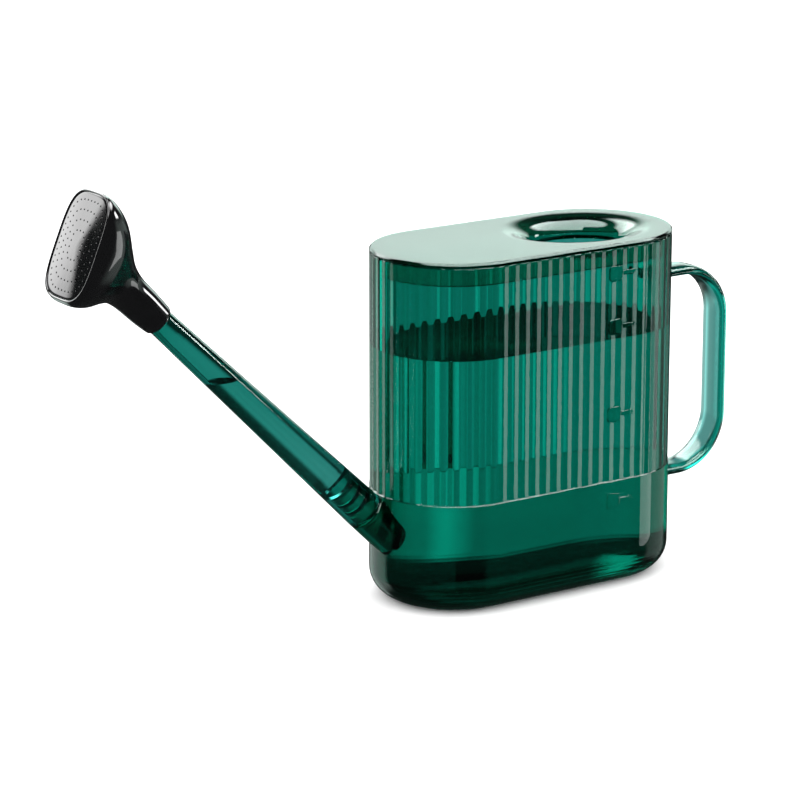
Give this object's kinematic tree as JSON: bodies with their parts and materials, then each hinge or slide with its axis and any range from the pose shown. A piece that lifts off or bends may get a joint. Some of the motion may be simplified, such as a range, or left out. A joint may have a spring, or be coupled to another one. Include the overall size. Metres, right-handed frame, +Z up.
{
  "type": "watering can",
  "caption": "Slim clear green plastic watering can with an oval ribbed body, push-in lid with a filler dish, pull-off spout, C handle and black perforated rose.",
  "frame": {"origin": "middle of the can's flat base, where it rests", "axes": "+Z up; the spout and rose point to -X and the handle is at +X; the level marks are on the -Y side"},
  "size_m": [0.3834, 0.0833, 0.2262],
  "materials": {
    "clear_green": "clear, dark green, polished injection-moulded plastic",
    "handle_green": "clear, thick polished green bar",
    "lid_green": "clear green with a smooth satin top",
    "black_plastic": "black, polished",
    "seal_rubber": "matte black"
  },
  "bodies": {
    "can": {"can_shell": "clear_green", "handle": "handle_green", "spout_spigot": "clear_green"},
    "lid": {"lid": "lid_green"},
    "spout_seals": {"spigot_seal_lower": "seal_rubber", "spigot_seal_upper": "seal_rubber"},
    "spout": {"spout_tube": "clear_green"},
    "rose_seal": {"neck_seal": "seal_rubber"},
    "rose": {"rose_housing": "black_plastic", "rose_plate": "black_plastic"}
  },
  "joints": [
    {"name": "lid_lift", "type": "slide", "parent": "can", "child": "lid", "axis": [0, 0, 1], "range_m": [0, 0.06]},
    {"name": "spout_swivel", "type": "hinge", "parent": "can", "child": "spout_seals", "pos_m": [-0.09337, 0, 0.05079], "axis": [-0.7145, 0, 0.6997], "continuous": true},
    {"name": "spout_pull", "type": "slide", "parent": "spout_seals", "child": "spout", "axis": [-0.7145, 0, 0.6997], "range_m": [0, 0.05]},
    {"name": "rose_swivel", "type": "hinge", "parent": "spout", "child": "rose_seal", "pos_m": [-0.20675, 0, 0.16183], "axis": [-0.7145, 0, 0.6997], "continuous": true},
    {"name": "rose_pull", "type": "slide", "parent": "rose_seal", "child": "rose", "axis": [-0.7145, 0, 0.6997], "range_m": [0, 0.04]}
  ]
}
